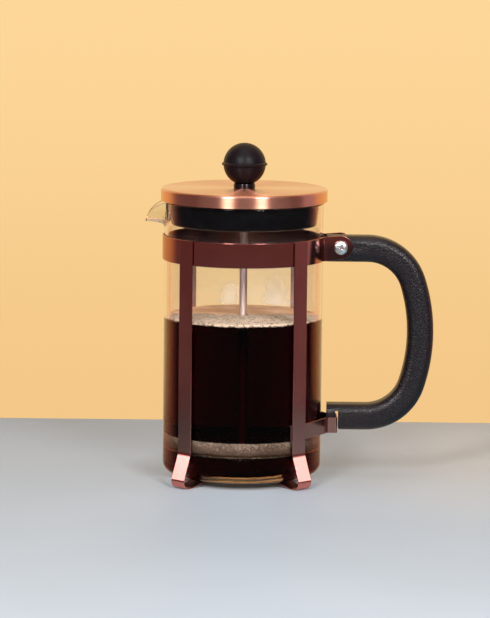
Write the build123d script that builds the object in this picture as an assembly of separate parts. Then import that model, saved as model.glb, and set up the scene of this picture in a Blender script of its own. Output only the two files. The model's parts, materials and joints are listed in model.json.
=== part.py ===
from build123d import *
import math
import os

# A one-litre french press. A glass beaker stands in a stand of bent metal strips with a bowed
# handle. A metal lid with a plastic plug closes it, and a plunger with a sprung mesh filter
# slides through the lid. Millimetres, +Z up. The origin is on the beaker's axis at the floor,
# +X points to the handle and -X to the spout. The plunger is modelled pressed down.

# Fits
GLASS_GAP = 0.3  # between the glass and the strips round it
SLIDE_GAP = 0.3  # between parts that slide on each other
FIT_GAP = 0.05  # between round parts that are screwed or pressed together
CUT_PAST = 0.7  # how far a cut runs past the face that it opens

# Beaker
GLASS_R = 50.0
GLASS_WALL = 2.0
GLASS_FLOOR = 3.0
GLASS_HEIGHT = 172.0
GLASS_LIFT = 4.2  # underside of the glass above the floor
GLASS_CORNER_R = 7.0
RIM_ROUND = 0.7  # of the fire-polished rim
SPOUT_LENGTH = 12.3  # from the glass to the tip of the spout
SPOUT_DROOP_R = 16.3  # round of the spout's edge, seen from the side
SPOUT_ROOT_SHARE = 0.36  # half width of the spout at its root, by the glass's radius
SPOUT_ROOT_ROUND = 12.0  # height of the trough's round bottom at the root
SPOUT_TIP_HALF = 4.0
SPOUT_DEPTH = 13.0  # from the rim to the underside at the tip
SPOUT_FALL = 2.0  # drop of the underside from the tip to the root
SPOUT_BLEND = 3.0  # round between the spout and the wall

# Metal strips of the stand
STRIP_T = 0.8
LEG_W = 11.0
LEG_AZIMUTH = 46.5  # of the legs, from the X axis
LEG_SPLAY = 20.0
KNEE_Z = 21.5
KNEE_BEND_R = 9.0
FOOT_BEND_R = 4.6
FOOT_PAD = 3.0  # flat length of a foot on the floor
SEAT_INSET = 14.0  # from the side of the glass to where the strips reach its underside
SEAT_BEND_R = 6.0
JOGGLE_R = 14.0  # where the lower strip starts to dip below the upper one
JOGGLE_RUN = 3.0

# Band and its ears
BAND_DROP = 20.9  # from the rim to the top of the band
BAND_H = 15.4
EAR_RISE = 1.0  # middle of the ears above the middle of the band
EAR_R = 7.5
EAR_BEND_R = 1.4
SCREW_STAND = 9.7  # screw off the band

# Strap at the lower end of the handle
STRAP_Z = 30.8
STRAP_H = 9.9
STRAP_STAND = 3.2  # start of the loop off the round that the strap lies on
STRAP_LOOP = 5.9  # length of the loop
STRAP_BEND_R = 1.6
STRAP_LAP = 6.0  # length of strap past the middle of a leg

# Handle
HANDLE_W = 18.0
HANDLE_T = 16.4
HANDLE_EDGE_R = 5.5
HANDLE_START_GAP = 1.1  # upper end off the band
HANDLE_END_GAP = 2.3  # lower end off the strap
HANDLE_ARM = 26.7  # reach of the straight arms from the band
HANDLE_CORNER_R = 30.3
HANDLE_CORNER_TURN = 72.0
ARM_DROP = 1.3  # axis of the upper arm below the screw
ARM_RISE = 4.8  # axis of the lower arm above the middle of the strap
SLOT_GAP = 0.7  # each side of the strap in the handle's slot
SLOT_HEADROOM = 4.0
TONGUE_HEADROOM = 1.0

# Handle screw and nut
SCREW_D = 4.8
SCREW_HEAD_D = 9.0
SCREW_HEAD_H = 2.6
SCREW_HEAD_ROUND = 1.8
SCREW_RECESS_L = 5.0
SCREW_RECESS_W = 1.1
SCREW_RECESS_DEPTH = 1.5
NUT_AF = 8.0
NUT_H = 3.8
SCREW_TAIL = 1.2  # past the nut

# Lid
LID_OVERHANG = 2.25
LID_LIFT = 0.7  # skirt above the rim
LID_H = 7.8
LID_T = 0.8
LID_EDGE_R = 1.6
PLUG_GAP = 0.6  # to the glass at the top of the plug
PLUG_TAPER = 1.8
PLUG_DEPTH = 14.3  # below the rim
PLUG_EDGE_R = 1.5
PLUG_WALL = 1.8
PLUG_DECK = 2.0
FLANGE_LAP = 1.0  # on the rim
FLANGE_T = 2.0
GUIDE_R = 5.5
GUIDE_LENGTH = 10.0
STUB_R = 4.8
COLLAR_R = 6.8
COLLAR_H = 3.1
COLLAR_ROUND = 0.9

# Knob and rod
KNOB_R = 13.3
KNOB_LIFT = 11.7  # middle of the ball above its flat underside
KNOB_GAP = 0.2  # above the collar, pressed down
RIDGE_R = 14.3
RIDGE_H = 2.3
RIDGE_TIP = 0.7
INSERT_R = 3.6
INSERT_LENGTH = 12.0
ROD_D = 4.7
THREAD_D = 4.0
THREAD_END = 1.0  # short of the end of what it is screwed into

# Filter
FILTER_LIFT = 13.4  # cross plate above the glass floor, pressed down
PLATE_T = 0.8
MESH_T = 0.5
MESH_GAP = 0.4  # to the glass
MESH_RIM_H = 8.6
MESH_BEND_R = 2.0
SPRING_R = 3.0  # of a curl, to the middle of the wire
SPRING_WIRE = 0.8
SPRING_CURLS = 60
SPRING_ENDS = 0.5  # share of a curl left open between the two ends
SPRING_SEAT = 0.3  # round the spring
SPRING_PLATE_LIP = 3.6
SPRING_PLATE_BEND_R = 2.4
SPRING_PLATE_HOLE_R = 7.0
SPRING_PLATE_HOLES = 6
SPRING_PLATE_HOLE_PITCH_R = 23.0
CROSS_EDGE = 1.2  # of the cross plate inside the mesh's edge
CROSS_OUTER_INSET = 11.9  # from the plate's edge to the middle of the outer holes
CROSS_OUTER_HOLE_R = 6.5
CROSS_OUTER_HOLES = 12
CROSS_RING_STEP = 16.5  # between the middles of the outer and inner holes
CROSS_INNER_HOLE_R = 5.5
CROSS_INNER_HOLES = 6
ROD_COLLAR_R = 6.0
ROD_COLLAR_H = 1.6
HUB_R = 6.5
HUB_H = 6.4
HUB_ROUND = 1.0

# Heights and radii that follow
RIM_Z = GLASS_LIFT + GLASS_HEIGHT
BORE_R = GLASS_R - GLASS_WALL
FLOOR_Z = GLASS_LIFT + GLASS_FLOOR
BAND_R = GLASS_R + GLASS_GAP + STRIP_T
LEG_R = BAND_R + STRIP_T
SPOUT_REACH = GLASS_R + SPOUT_LENGTH
SPOUT_ROOT_HALF = SPOUT_ROOT_SHARE * GLASS_R
DROOP_X = SPOUT_DROOP_R - SPOUT_REACH
DROOP_Z = RIM_Z - SPOUT_DROOP_R
SEAT_R = GLASS_R - SEAT_INSET
BAND_TOP = RIM_Z - BAND_DROP
BAND_Z = BAND_TOP - BAND_H
SCREW_X = BAND_R + SCREW_STAND
STRAP_FOLD_X = BAND_R + STRAP_STAND
STRAP_REACH = STRAP_FOLD_X + STRAP_LOOP
HANDLE_START = BAND_R + HANDLE_START_GAP
HANDLE_END = BAND_R + HANDLE_END_GAP
HANDLE_STRAIGHT_X = BAND_R + HANDLE_ARM
EAR_Z = BAND_Z + BAND_H / 2 + EAR_RISE
EAR_Y = HANDLE_W / 2 + STRIP_T
UPPER_ARM_Z = EAR_Z - ARM_DROP
LOWER_ARM_Z = STRAP_Z + STRAP_H / 2 + ARM_RISE
TONGUE_HALF = HANDLE_W / 2 - STRIP_T
LID_R = GLASS_R + LID_OVERHANG
LID_Z = RIM_Z + LID_LIFT
LID_TOP = LID_Z + LID_H
DECK_TOP = LID_TOP - LID_T
COLLAR_TOP = LID_TOP + COLLAR_H
ROD_R = ROD_D / 2
THREAD_R = THREAD_D / 2
GUIDE_BORE_R = ROD_R + SLIDE_GAP
KNOB_Z = COLLAR_TOP + KNOB_GAP
BALL_Z = KNOB_Z + KNOB_LIFT
CROSS_Z = FLOOR_Z + FILTER_LIFT
MESH_Z = CROSS_Z + PLATE_T
MESH_R = BORE_R - MESH_GAP
CROSS_R = MESH_R - CROSS_EDGE
SPRING_PLATE_Z = MESH_Z + MESH_T
ROD_COLLAR_Z = SPRING_PLATE_Z + PLATE_T
SPRING_TUBE_R = SPRING_R + SPRING_WIRE / 2
SPRING_RING_R = MESH_R - MESH_T - SPRING_SEAT - SPRING_TUBE_R
SPRING_Z = MESH_Z + MESH_T + SPRING_SEAT + SPRING_TUBE_R
SPRING_PLATE_R = SPRING_RING_R - SPRING_TUBE_R - SPRING_SEAT


def ring(outer_r, inner_r, bottom, height):
    """A round washer standing on a height."""
    disc = Cylinder(outer_r, height, align=(Align.CENTER, Align.CENTER, Align.MIN))
    hole = Cylinder(inner_r, height, align=(Align.CENTER, Align.CENTER, Align.MIN))
    return Pos(0, 0, bottom) * (disc - hole)


def turned(*lines):
    """A solid turned about the Z axis from a closed outline of radius and height."""
    return revolve(Plane.XZ * make_face(lines), Axis.Z)


def strip(line, side, width):
    """A strip of sheet bent along a line, square to the plane of the line."""
    outline = offset(line, STRIP_T, side=side, closed=True)
    return extrude(make_face(outline.edges()), width / 2, both=True)


def spout_section(x, half_width, round_h, underside):
    """A round-bottomed trough across the X axis, open to above the rim."""
    top = RIM_Z + 2 * CUT_PAST
    spring = underside + round_h
    outline = [
        Line((-half_width, top), (-half_width, spring)),
        EllipticalCenterArc((0, spring), half_width, round_h, start_angle=180, arc_size=180),
        Line((half_width, spring), (half_width, top)),
        Line((half_width, top), (-half_width, top)),
    ]
    plane = Plane(origin=(x, 0, 0), x_dir=(0, 1, 0), z_dir=(1, 0, 0))
    return plane * make_face(outline)


def spout_trough(inset):
    """The spout's trough as a solid, drawn in by an inset."""
    tip_x = -(SPOUT_REACH + GLASS_WALL)
    root_x = -(GLASS_R - SPOUT_DROOP_R / 2)
    tip_underside = RIM_Z - SPOUT_DEPTH + inset
    root = spout_section(
        root_x, SPOUT_ROOT_HALF - inset, SPOUT_ROOT_ROUND - inset, tip_underside - SPOUT_FALL)
    tip = spout_section(tip_x, SPOUT_TIP_HALF - inset, SPOUT_TIP_HALF - inset, tip_underside)
    return loft([root, tip])


def rim_side_shape():
    """All that lies under the rim, seen from the side: level, then rounded down to the spout's tip."""
    far_x = 2 * GLASS_R
    outline = [
        Line((DROOP_X, RIM_Z), (far_x, RIM_Z)),
        Line((far_x, RIM_Z), (far_x, 0)),
        Line((far_x, 0), (-SPOUT_REACH, 0)),
        Line((-SPOUT_REACH, 0), (-SPOUT_REACH, DROOP_Z)),
        CenterArc((DROOP_X, DROOP_Z), SPOUT_DROOP_R, start_angle=90, arc_size=90),
    ]
    return extrude(Plane.XZ * make_face(outline), far_x, both=True)


def is_spout_root(edge, radius):
    """Tells whether an edge is where the spout leaves a round wall of a given radius."""
    points = [edge.position_at(share) for share in (0.2, 0.5, 0.8)]
    on_wall = all(abs(math.hypot(p.X, p.Y) - radius) < FIT_GAP for p in points)
    heights = [p.Z for p in points]
    return on_wall and points[1].X < 0 and max(heights) - min(heights) > CUT_PAST / 4


def rim_height(x):
    """Height of the rim over a place on the X axis."""
    past = max(0, DROOP_X - x)
    return DROOP_Z + math.sqrt(max(0, SPOUT_DROOP_R ** 2 - past ** 2))


def is_rim_edge(edge):
    """Tells whether an edge runs along the rim, inside or outside."""
    points = [edge.position_at(share) for share in (0.1, 0.5, 0.9)]
    across = all(abs(p.X - DROOP_X) < FIT_GAP for p in points)
    return not across and all(abs(p.Z - rim_height(p.X)) < FIT_GAP for p in points)


def round_bottomed(radius, height, bottom, corner_r):
    """A cylinder standing on a height, with its lower edge rounded."""
    body = Cylinder(radius, height, align=(Align.CENTER, Align.CENTER, Align.MIN))
    body = fillet(body.edges().sort_by(Axis.Z)[:1], corner_r)
    return Pos(0, 0, bottom) * body


def make_glass_beaker():
    """A round-bottomed beaker with a spout drawn out of its rim."""
    outer = round_bottomed(GLASS_R, GLASS_HEIGHT + CUT_PAST, GLASS_LIFT, GLASS_CORNER_R)
    outer += spout_trough(0)
    outer = fillet([e for e in outer.edges() if is_spout_root(e, GLASS_R)], SPOUT_BLEND)
    outer &= rim_side_shape()
    inside_h = GLASS_HEIGHT - GLASS_FLOOR + CUT_PAST
    inner = round_bottomed(BORE_R, inside_h, FLOOR_Z, GLASS_CORNER_R - GLASS_WALL)
    inner += spout_trough(GLASS_WALL)
    inner = fillet([e for e in inner.edges() if is_spout_root(e, BORE_R)], SPOUT_BLEND + GLASS_WALL)
    beaker = outer - inner
    return fillet([e for e in beaker.edges() if is_rim_edge(e)], RIM_ROUND)


def make_top_band():
    """The band goes round the glass and turns out into two ears beside the handle."""
    bend_x = math.sqrt((BAND_R + EAR_BEND_R) ** 2 - (EAR_Y + EAR_BEND_R) ** 2)
    bend_y = EAR_Y + EAR_BEND_R
    meet = Vector(bend_x, bend_y) * (BAND_R / (BAND_R + EAR_BEND_R))
    bend_mid = Vector(bend_x, bend_y) + Vector(-1, -1).normalized() * EAR_BEND_R
    ear_x = SCREW_X + EAR_R
    line = Wire([
        Edge.make_line((ear_x, EAR_Y), (bend_x, EAR_Y)),
        Edge.make_three_point_arc((bend_x, EAR_Y), bend_mid, meet),
        Edge.make_three_point_arc(meet, (-BAND_R, 0), (meet.X, -meet.Y)),
        Edge.make_three_point_arc((meet.X, -meet.Y), (bend_mid.X, -bend_mid.Y), (bend_x, -EAR_Y)),
        Edge.make_line((bend_x, -EAR_Y), (ear_x, -EAR_Y)),
    ])
    sheet = Pos(0, 0, BAND_Z + BAND_H / 2) * strip(line, Side.LEFT, 2 * BAND_H)
    round_part = Pos(bend_x, 0, BAND_Z) * Box(
        2 * LEG_R, 4 * LEG_R, BAND_H, align=(Align.MAX, Align.CENTER, Align.MIN))
    tab = make_hull([
        Edge.make_line((bend_x, BAND_Z), (bend_x, BAND_TOP)),
        Edge.make_circle(EAR_R, Plane((SCREW_X, EAR_Z, 0))),
    ])
    tabs = extrude(Plane.XZ * tab, HANDLE_W, both=True)
    hole = Pos(SCREW_X, 0, EAR_Z) * Rot(90, 0, 0) * Cylinder(SCREW_D / 2 + SLIDE_GAP, 2 * HANDLE_W)
    return (sheet & (round_part + tabs)) - hole


def leg_outline(dip):
    """Outer face of half a leg strip, from under the glass over the foot to the band."""
    flat_z = GLASS_LIFT - STRIP_T
    heel_r = LEG_R + KNEE_Z * math.tan(math.radians(LEG_SPLAY))
    turn = math.radians(90 + LEG_SPLAY)
    toe_r = heel_r - FOOT_BEND_R * math.tan(turn / 2) - FOOT_PAD
    points = [(SEAT_R, flat_z), (toe_r, 0), (heel_r, 0), (LEG_R, KNEE_Z), (LEG_R, BAND_TOP)]
    radii = [SEAT_BEND_R, SEAT_BEND_R, FOOT_BEND_R, KNEE_BEND_R]
    if dip:
        points = [(JOGGLE_R, flat_z - dip), (JOGGLE_R + JOGGLE_RUN, flat_z)] + points
        radii = [STRIP_T + JOGGLE_RUN, STRIP_T + JOGGLE_RUN] + radii
    return points, radii


def make_leg_strip(azimuth, dip):
    """Two legs and the run between them under the glass, bent from one strip."""
    points, radii = leg_outline(dip)
    mirrored = [(-r, z) for r, z in reversed(points)]
    line = FilletPolyline(*mirrored, *points, radius=radii[::-1] + radii)
    outline = offset(line, STRIP_T, side=Side.LEFT, closed=True)
    blank = extrude(Plane.XZ * make_face(outline.edges()), LEG_W / 2, both=True)
    return Rot(0, 0, azimuth) * blank


def make_handle_strap():
    """A loop that lies on the glass behind two legs and goes round the handle's tongue."""
    lap = math.degrees(STRAP_LAP / BAND_R)
    start = Vector(BAND_R, 0).rotate(Axis.Z, LEG_AZIMUTH + lap)
    fold_y = TONGUE_HALF + STRIP_T
    fold = Vector(STRAP_FOLD_X, fold_y)
    leave = fold.normalized().rotate(Axis.Z, math.degrees(math.acos(BAND_R / fold.length))) * BAND_R
    half_way = (start + leave).normalized() * BAND_R
    side = FilletPolyline(
        leave, fold, (STRAP_REACH, fold_y), (STRAP_REACH, -fold_y), (fold.X, -fold.Y), (leave.X, -leave.Y),
        radius=STRAP_BEND_R)
    line = Wire([
        Edge.make_three_point_arc(start, half_way, leave),
        *side.edges(),
        Edge.make_three_point_arc((leave.X, -leave.Y), (half_way.X, -half_way.Y), (start.X, -start.Y)),
    ])
    return Pos(0, 0, STRAP_Z + STRAP_H / 2) * strip(line, Side.RIGHT, STRAP_H)


def make_handle():
    """A bar swept along a bow, with a slot and a narrowed tongue at its lower end."""
    turn = math.radians(HANDLE_CORNER_TURN)
    drop = UPPER_ARM_Z - LOWER_ARM_Z
    corner_drop = HANDLE_CORNER_R * (1 - math.cos(turn))
    corner_run = HANDLE_CORNER_R * math.sin(turn)
    bow_r = (drop - 2 * corner_drop) / (2 * math.cos(turn))
    bow_x = HANDLE_STRAIGHT_X + corner_run + bow_r * (1 - math.sin(turn))
    top, low = UPPER_ARM_Z, LOWER_ARM_Z
    half = turn / 2
    near_x = HANDLE_STRAIGHT_X + HANDLE_CORNER_R * math.sin(half)
    near_drop = HANDLE_CORNER_R * (1 - math.cos(half))
    far_x = HANDLE_STRAIGHT_X + corner_run
    path = Wire([
        Edge.make_line((HANDLE_START, 0, top), (HANDLE_STRAIGHT_X, 0, top)),
        Edge.make_three_point_arc(
            (HANDLE_STRAIGHT_X, 0, top), (near_x, 0, top - near_drop), (far_x, 0, top - corner_drop)),
        Edge.make_three_point_arc(
            (far_x, 0, top - corner_drop), (bow_x, 0, (top + low) / 2), (far_x, 0, low + corner_drop)),
        Edge.make_three_point_arc(
            (far_x, 0, low + corner_drop), (near_x, 0, low + near_drop), (HANDLE_STRAIGHT_X, 0, low)),
        Edge.make_line((HANDLE_STRAIGHT_X, 0, low), (HANDLE_END, 0, low)),
    ])
    section = Plane((HANDLE_START, 0, top), x_dir=(0, 1, 0), z_dir=(1, 0, 0)) * RectangleRounded(
        HANDLE_W, HANDLE_T, HANDLE_EDGE_R)
    bar = sweep(section, path)
    bore = Pos(SCREW_X, 0, EAR_Z) * Rot(90, 0, 0) * Cylinder(SCREW_D / 2 + SLIDE_GAP, HANDLE_W)
    slot_top = STRAP_Z + STRAP_H + SLOT_HEADROOM
    slot_w = STRIP_T + 2 * SLOT_GAP
    slot_x = STRAP_REACH - STRIP_T / 2
    slot = Pos(slot_x, 0, slot_top) * Box(
        slot_w, 2 * HANDLE_W, 2 * HANDLE_T, align=(Align.CENTER, Align.CENTER, Align.MAX))
    tongue_top = STRAP_Z + STRAP_H + TONGUE_HEADROOM
    cheek = Box(2 * slot_w + slot_x - HANDLE_END, HANDLE_W, 2 * HANDLE_T,
                align=(Align.MAX, Align.MIN, Align.MAX))
    cheeks = Pos(slot_x, TONGUE_HALF - FIT_GAP, tongue_top) * cheek
    cheeks += mirror(cheeks, Plane.XZ)
    return bar - bore - slot - cheeks


def make_handle_screw():
    """A pan-head screw with a cross recess, its head on the front ear."""
    length = 2 * EAR_Y + NUT_H + SCREW_TAIL
    shank = Cylinder(SCREW_D / 2, length, align=(Align.CENTER, Align.CENTER, Align.MAX))
    head = Cylinder(SCREW_HEAD_D / 2, SCREW_HEAD_H, align=(Align.CENTER, Align.CENTER, Align.MIN))
    head = fillet(head.edges().sort_by(Axis.Z)[-1:], SCREW_HEAD_ROUND)
    recess = Box(SCREW_RECESS_L, SCREW_RECESS_W, SCREW_RECESS_DEPTH,
                 align=(Align.CENTER, Align.CENTER, Align.MAX))
    recess = Pos(0, 0, SCREW_HEAD_H) * (recess + Rot(0, 0, 90) * recess)
    return Pos(SCREW_X, -EAR_Y, EAR_Z) * Rot(90, 0, 0) * (shank + head - recess)


def make_handle_nut():
    nut = extrude(RegularPolygon(NUT_AF / 2, 6, major_radius=False), NUT_H)
    nut -= Cylinder(SCREW_D / 2 + FIT_GAP, NUT_H, align=(Align.CENTER, Align.CENTER, Align.MIN))
    return Pos(SCREW_X, EAR_Y, EAR_Z) * Rot(-90, 0, 0) * nut


def make_lid_cover():
    cup = Cylinder(LID_R, LID_H, align=(Align.CENTER, Align.CENTER, Align.MIN))
    cup = fillet(cup.edges().sort_by(Axis.Z)[-1:], LID_EDGE_R)
    hollow = Cylinder(LID_R - LID_T, LID_H - LID_T, align=(Align.CENTER, Align.CENTER, Align.MIN))
    hollow = fillet(hollow.edges().sort_by(Axis.Z)[-1:], LID_EDGE_R - LID_T)
    hole = Cylinder(STUB_R + FIT_GAP, LID_H, align=(Align.CENTER, Align.CENTER, Align.MIN))
    return Pos(0, 0, LID_Z) * (cup - hollow - hole)


def make_lid_insert():
    """An upturned cup with a flange on the rim, a rod guide and a threaded stub."""
    plug_r = BORE_R - PLUG_GAP
    flange_r = BORE_R + FLANGE_LAP
    plug_z = RIM_Z - PLUG_DEPTH
    low_r = plug_r - PLUG_TAPER
    deck_z = DECK_TOP - PLUG_DECK
    guide_z = deck_z - GUIDE_LENGTH
    outline = Polyline(
        (GUIDE_BORE_R, guide_z), (GUIDE_BORE_R, COLLAR_TOP - FIT_GAP), (STUB_R, COLLAR_TOP - FIT_GAP),
        (STUB_R, DECK_TOP), (plug_r, DECK_TOP), (plug_r, RIM_Z + FLANGE_T), (flange_r, RIM_Z + FLANGE_T),
        (flange_r, RIM_Z), (plug_r, RIM_Z), (low_r, plug_z), (low_r - PLUG_WALL, plug_z),
        (plug_r - PLUG_WALL, RIM_Z), (plug_r - PLUG_WALL, deck_z), (GUIDE_R, deck_z), (GUIDE_R, guide_z),
        close=True)
    insert = turned(*outline.edges())
    return fillet(insert.edges().group_by(Axis.Z)[0].sort_by(SortBy.RADIUS)[-1:], PLUG_EDGE_R)


def make_lid_collar():
    collar = ring(COLLAR_R, STUB_R + FIT_GAP, LID_TOP, COLLAR_H)
    return fillet(collar.edges().group_by(Axis.Z)[-1].sort_by(SortBy.RADIUS)[-1:], COLLAR_ROUND)


def make_knob():
    """A ball with a flat underside and a ridge round its middle."""
    ball = Pos(0, 0, BALL_Z) * Sphere(KNOB_R)
    ridge = turned(*Polyline(
        (0, BALL_Z - RIDGE_H / 2), (KNOB_R, BALL_Z - RIDGE_H / 2), (RIDGE_R, BALL_Z - RIDGE_TIP / 2),
        (RIDGE_R, BALL_Z + RIDGE_TIP / 2), (KNOB_R, BALL_Z + RIDGE_H / 2), (0, BALL_Z + RIDGE_H / 2),
        close=True).edges())
    below = Pos(0, 0, KNOB_Z) * Box(
        2 * RIDGE_R, 2 * RIDGE_R, KNOB_R, align=(Align.CENTER, Align.CENTER, Align.MAX))
    hole = Pos(0, 0, KNOB_Z) * Cylinder(
        INSERT_R + FIT_GAP, INSERT_LENGTH, align=(Align.CENTER, Align.CENTER, Align.MIN))
    return ball + ridge - below - hole


def make_knob_insert():
    return ring(INSERT_R, THREAD_R + FIT_GAP, KNOB_Z, INSERT_LENGTH)


def make_plunger_rod():
    """A rod with a thread turned down at each end."""
    rod_h = KNOB_Z - ROD_COLLAR_Z
    rod = Pos(0, 0, ROD_COLLAR_Z) * Cylinder(ROD_R, rod_h, align=(Align.CENTER, Align.CENTER, Align.MIN))
    low_z = CROSS_Z - HUB_H + THREAD_END
    high_z = KNOB_Z + INSERT_LENGTH - THREAD_END
    thread = Cylinder(THREAD_R, high_z - low_z, align=(Align.CENTER, Align.CENTER, Align.MIN))
    return rod + Pos(0, 0, low_z) * thread


def make_rod_collar():
    return ring(ROD_COLLAR_R, ROD_R + FIT_GAP, ROD_COLLAR_Z, ROD_COLLAR_H)


def make_spring_plate():
    """A holed plate whose edge turns up inside the spring."""
    bore_r = THREAD_R + FIT_GAP
    line = FilletPolyline(
        (bore_r, SPRING_PLATE_Z), (SPRING_PLATE_R, SPRING_PLATE_Z),
        (SPRING_PLATE_R, SPRING_PLATE_Z + PLATE_T + SPRING_PLATE_LIP), radius=SPRING_PLATE_BEND_R)
    plate = turned(*offset(line, PLATE_T, side=Side.LEFT, closed=True).edges())
    hole = Pos(0, 0, SPRING_PLATE_Z) * Cylinder(SPRING_PLATE_HOLE_R, 4 * PLATE_T)
    return plate - PolarLocations(SPRING_PLATE_HOLE_PITCH_R, SPRING_PLATE_HOLES) * hole


def spring_point(turns):
    """A point of the spring, after a number of curls from its first end."""
    curl = 2 * math.pi * turns
    around = 2 * math.pi * turns / SPRING_CURLS
    radius = SPRING_RING_R + SPRING_R * math.cos(curl)
    return Vector(radius * math.cos(around), radius * math.sin(around), SPRING_Z + SPRING_R * math.sin(curl))


def spring_direction(turns):
    """The way the wire runs at a point of the spring."""
    step = 1e-4
    return (spring_point(turns + step) - spring_point(turns - step)).normalized()


def biarc(start, start_way, end, end_way):
    """Two arcs that join two points and share a direction where they meet."""
    chord = end - start
    ways = start_way + end_way
    fold = 2 * (1 - start_way.dot(end_way))
    reach = (math.sqrt(chord.dot(ways) ** 2 + fold * chord.dot(chord)) - chord.dot(ways)) / fold
    first = start + start_way * reach
    last = end - end_way * reach
    middle = (first + last) / 2
    return [
        Edge.make_tangent_arc(start, start_way, middle),
        Edge.make_tangent_arc(middle, last - first, end),
    ]


def make_edge_spring():
    """An open ring of curls, bent from one wire."""
    halves = int(2 * (SPRING_CURLS - SPRING_ENDS))
    arcs = []
    for half in range(halves):
        a, b = half / 2, (half + 1) / 2
        arcs += biarc(spring_point(a), spring_direction(a), spring_point(b), spring_direction(b))
    path = Wire(arcs)
    section = Plane(spring_point(0), z_dir=spring_direction(0)) * RegularPolygon(SPRING_WIRE / 2, 6)
    return sweep(section, path, clean=False)


def print_spring_gap():
    """Prints the least gap between neighbouring curls and between the two ends."""
    steps = 24
    last = int(2 * (SPRING_CURLS - SPRING_ENDS)) / 2
    pairs = [(i / steps, j / steps) for i in range(steps) for j in range(i + steps // 2, i + 2 * steps)]
    pairs += [(i / steps, last - j / steps) for i in range(steps) for j in range(steps)]
    least = min((spring_point(a) - spring_point(b)).length for a, b in pairs)
    print("edge spring least gap", round(least - SPRING_WIRE, 2))


def make_mesh_screen():
    """The filter cloth as a thin cup, its edge turned up round the spring."""
    line = FilletPolyline(
        (THREAD_R + FIT_GAP, MESH_Z), (MESH_R, MESH_Z), (MESH_R, MESH_Z + MESH_RIM_H), radius=MESH_BEND_R)
    return turned(*offset(line, MESH_T, side=Side.LEFT, closed=True).edges())


def make_cross_plate():
    """A disc with two rings of holes, under the mesh."""
    disc = Circle(CROSS_R) - Circle(THREAD_R + FIT_GAP)
    outer_pitch_r = CROSS_R - CROSS_OUTER_INSET
    disc -= PolarLocations(outer_pitch_r, CROSS_OUTER_HOLES) * Circle(CROSS_OUTER_HOLE_R)
    disc -= PolarLocations(outer_pitch_r - CROSS_RING_STEP, CROSS_INNER_HOLES) * Circle(CROSS_INNER_HOLE_R)
    return Pos(0, 0, CROSS_Z) * extrude(disc, PLATE_T)


def make_hub_nut():
    hub = ring(HUB_R, THREAD_R + FIT_GAP, CROSS_Z - HUB_H, HUB_H)
    return fillet(hub.edges().group_by(Axis.Z)[0].sort_by(SortBy.RADIUS)[-1:], HUB_ROUND)


NODES = {
    "glass_beaker": make_glass_beaker(),
    "top_band": make_top_band(),
    "leg_strip_upper": make_leg_strip(LEG_AZIMUTH, 0),
    "leg_strip_lower": make_leg_strip(-LEG_AZIMUTH, STRIP_T),
    "handle_strap": make_handle_strap(),
    "handle": make_handle(),
    "handle_screw": make_handle_screw(),
    "handle_nut": make_handle_nut(),
    "lid_cover": make_lid_cover(),
    "lid_insert": make_lid_insert(),
    "lid_collar": make_lid_collar(),
    "knob": make_knob(),
    "knob_insert": make_knob_insert(),
    "plunger_rod": make_plunger_rod(),
    "rod_collar": make_rod_collar(),
    "spring_plate": make_spring_plate(),
    "edge_spring": make_edge_spring(),
    "mesh_screen": make_mesh_screen(),
    "cross_plate": make_cross_plate(),
    "hub_nut": make_hub_nut(),
}

os.makedirs("parts", exist_ok=True)
for name, node in NODES.items():
    export_step(node, f"parts/{name}.step")
print_spring_gap()
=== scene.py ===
import json
import math
import bmesh
import bpy
from mathutils import Matrix, Vector

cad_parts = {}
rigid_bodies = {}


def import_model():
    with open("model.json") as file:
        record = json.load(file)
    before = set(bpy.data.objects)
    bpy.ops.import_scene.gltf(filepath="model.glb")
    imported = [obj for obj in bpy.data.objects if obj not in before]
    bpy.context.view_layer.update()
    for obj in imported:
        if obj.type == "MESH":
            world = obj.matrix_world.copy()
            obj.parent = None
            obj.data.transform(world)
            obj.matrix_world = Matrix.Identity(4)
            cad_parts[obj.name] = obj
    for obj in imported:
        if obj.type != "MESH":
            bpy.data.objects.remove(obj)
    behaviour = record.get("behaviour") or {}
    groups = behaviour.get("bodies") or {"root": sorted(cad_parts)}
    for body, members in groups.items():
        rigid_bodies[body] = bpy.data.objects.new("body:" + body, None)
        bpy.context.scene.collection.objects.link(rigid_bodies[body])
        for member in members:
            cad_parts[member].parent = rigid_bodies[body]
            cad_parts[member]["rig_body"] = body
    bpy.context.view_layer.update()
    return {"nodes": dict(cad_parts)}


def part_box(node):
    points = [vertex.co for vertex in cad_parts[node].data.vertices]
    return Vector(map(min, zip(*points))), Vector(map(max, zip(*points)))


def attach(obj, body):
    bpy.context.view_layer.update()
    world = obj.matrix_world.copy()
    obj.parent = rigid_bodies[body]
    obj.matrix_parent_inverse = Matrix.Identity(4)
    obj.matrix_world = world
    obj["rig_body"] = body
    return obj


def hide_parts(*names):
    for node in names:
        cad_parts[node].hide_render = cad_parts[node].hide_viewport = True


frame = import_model()
scene = bpy.context.scene
for left_over in ("Cube", "Camera", "Light"):
    if left_over in bpy.data.objects:
        bpy.data.objects.remove(bpy.data.objects[left_over])

# Camera: sensor and lens in millimetres, place in metres, turns in degrees
SENSOR_MM = 36.0
LENS_MM = 205.3
CLIP_NEAR = 0.05
CLIP_FAR = 50.0
CAMERA_PLACE = (0.0012, -2.2, 0.4124)
CAMERA_DOWN = 7.88
CAMERA_ROLL = 0.61

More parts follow.
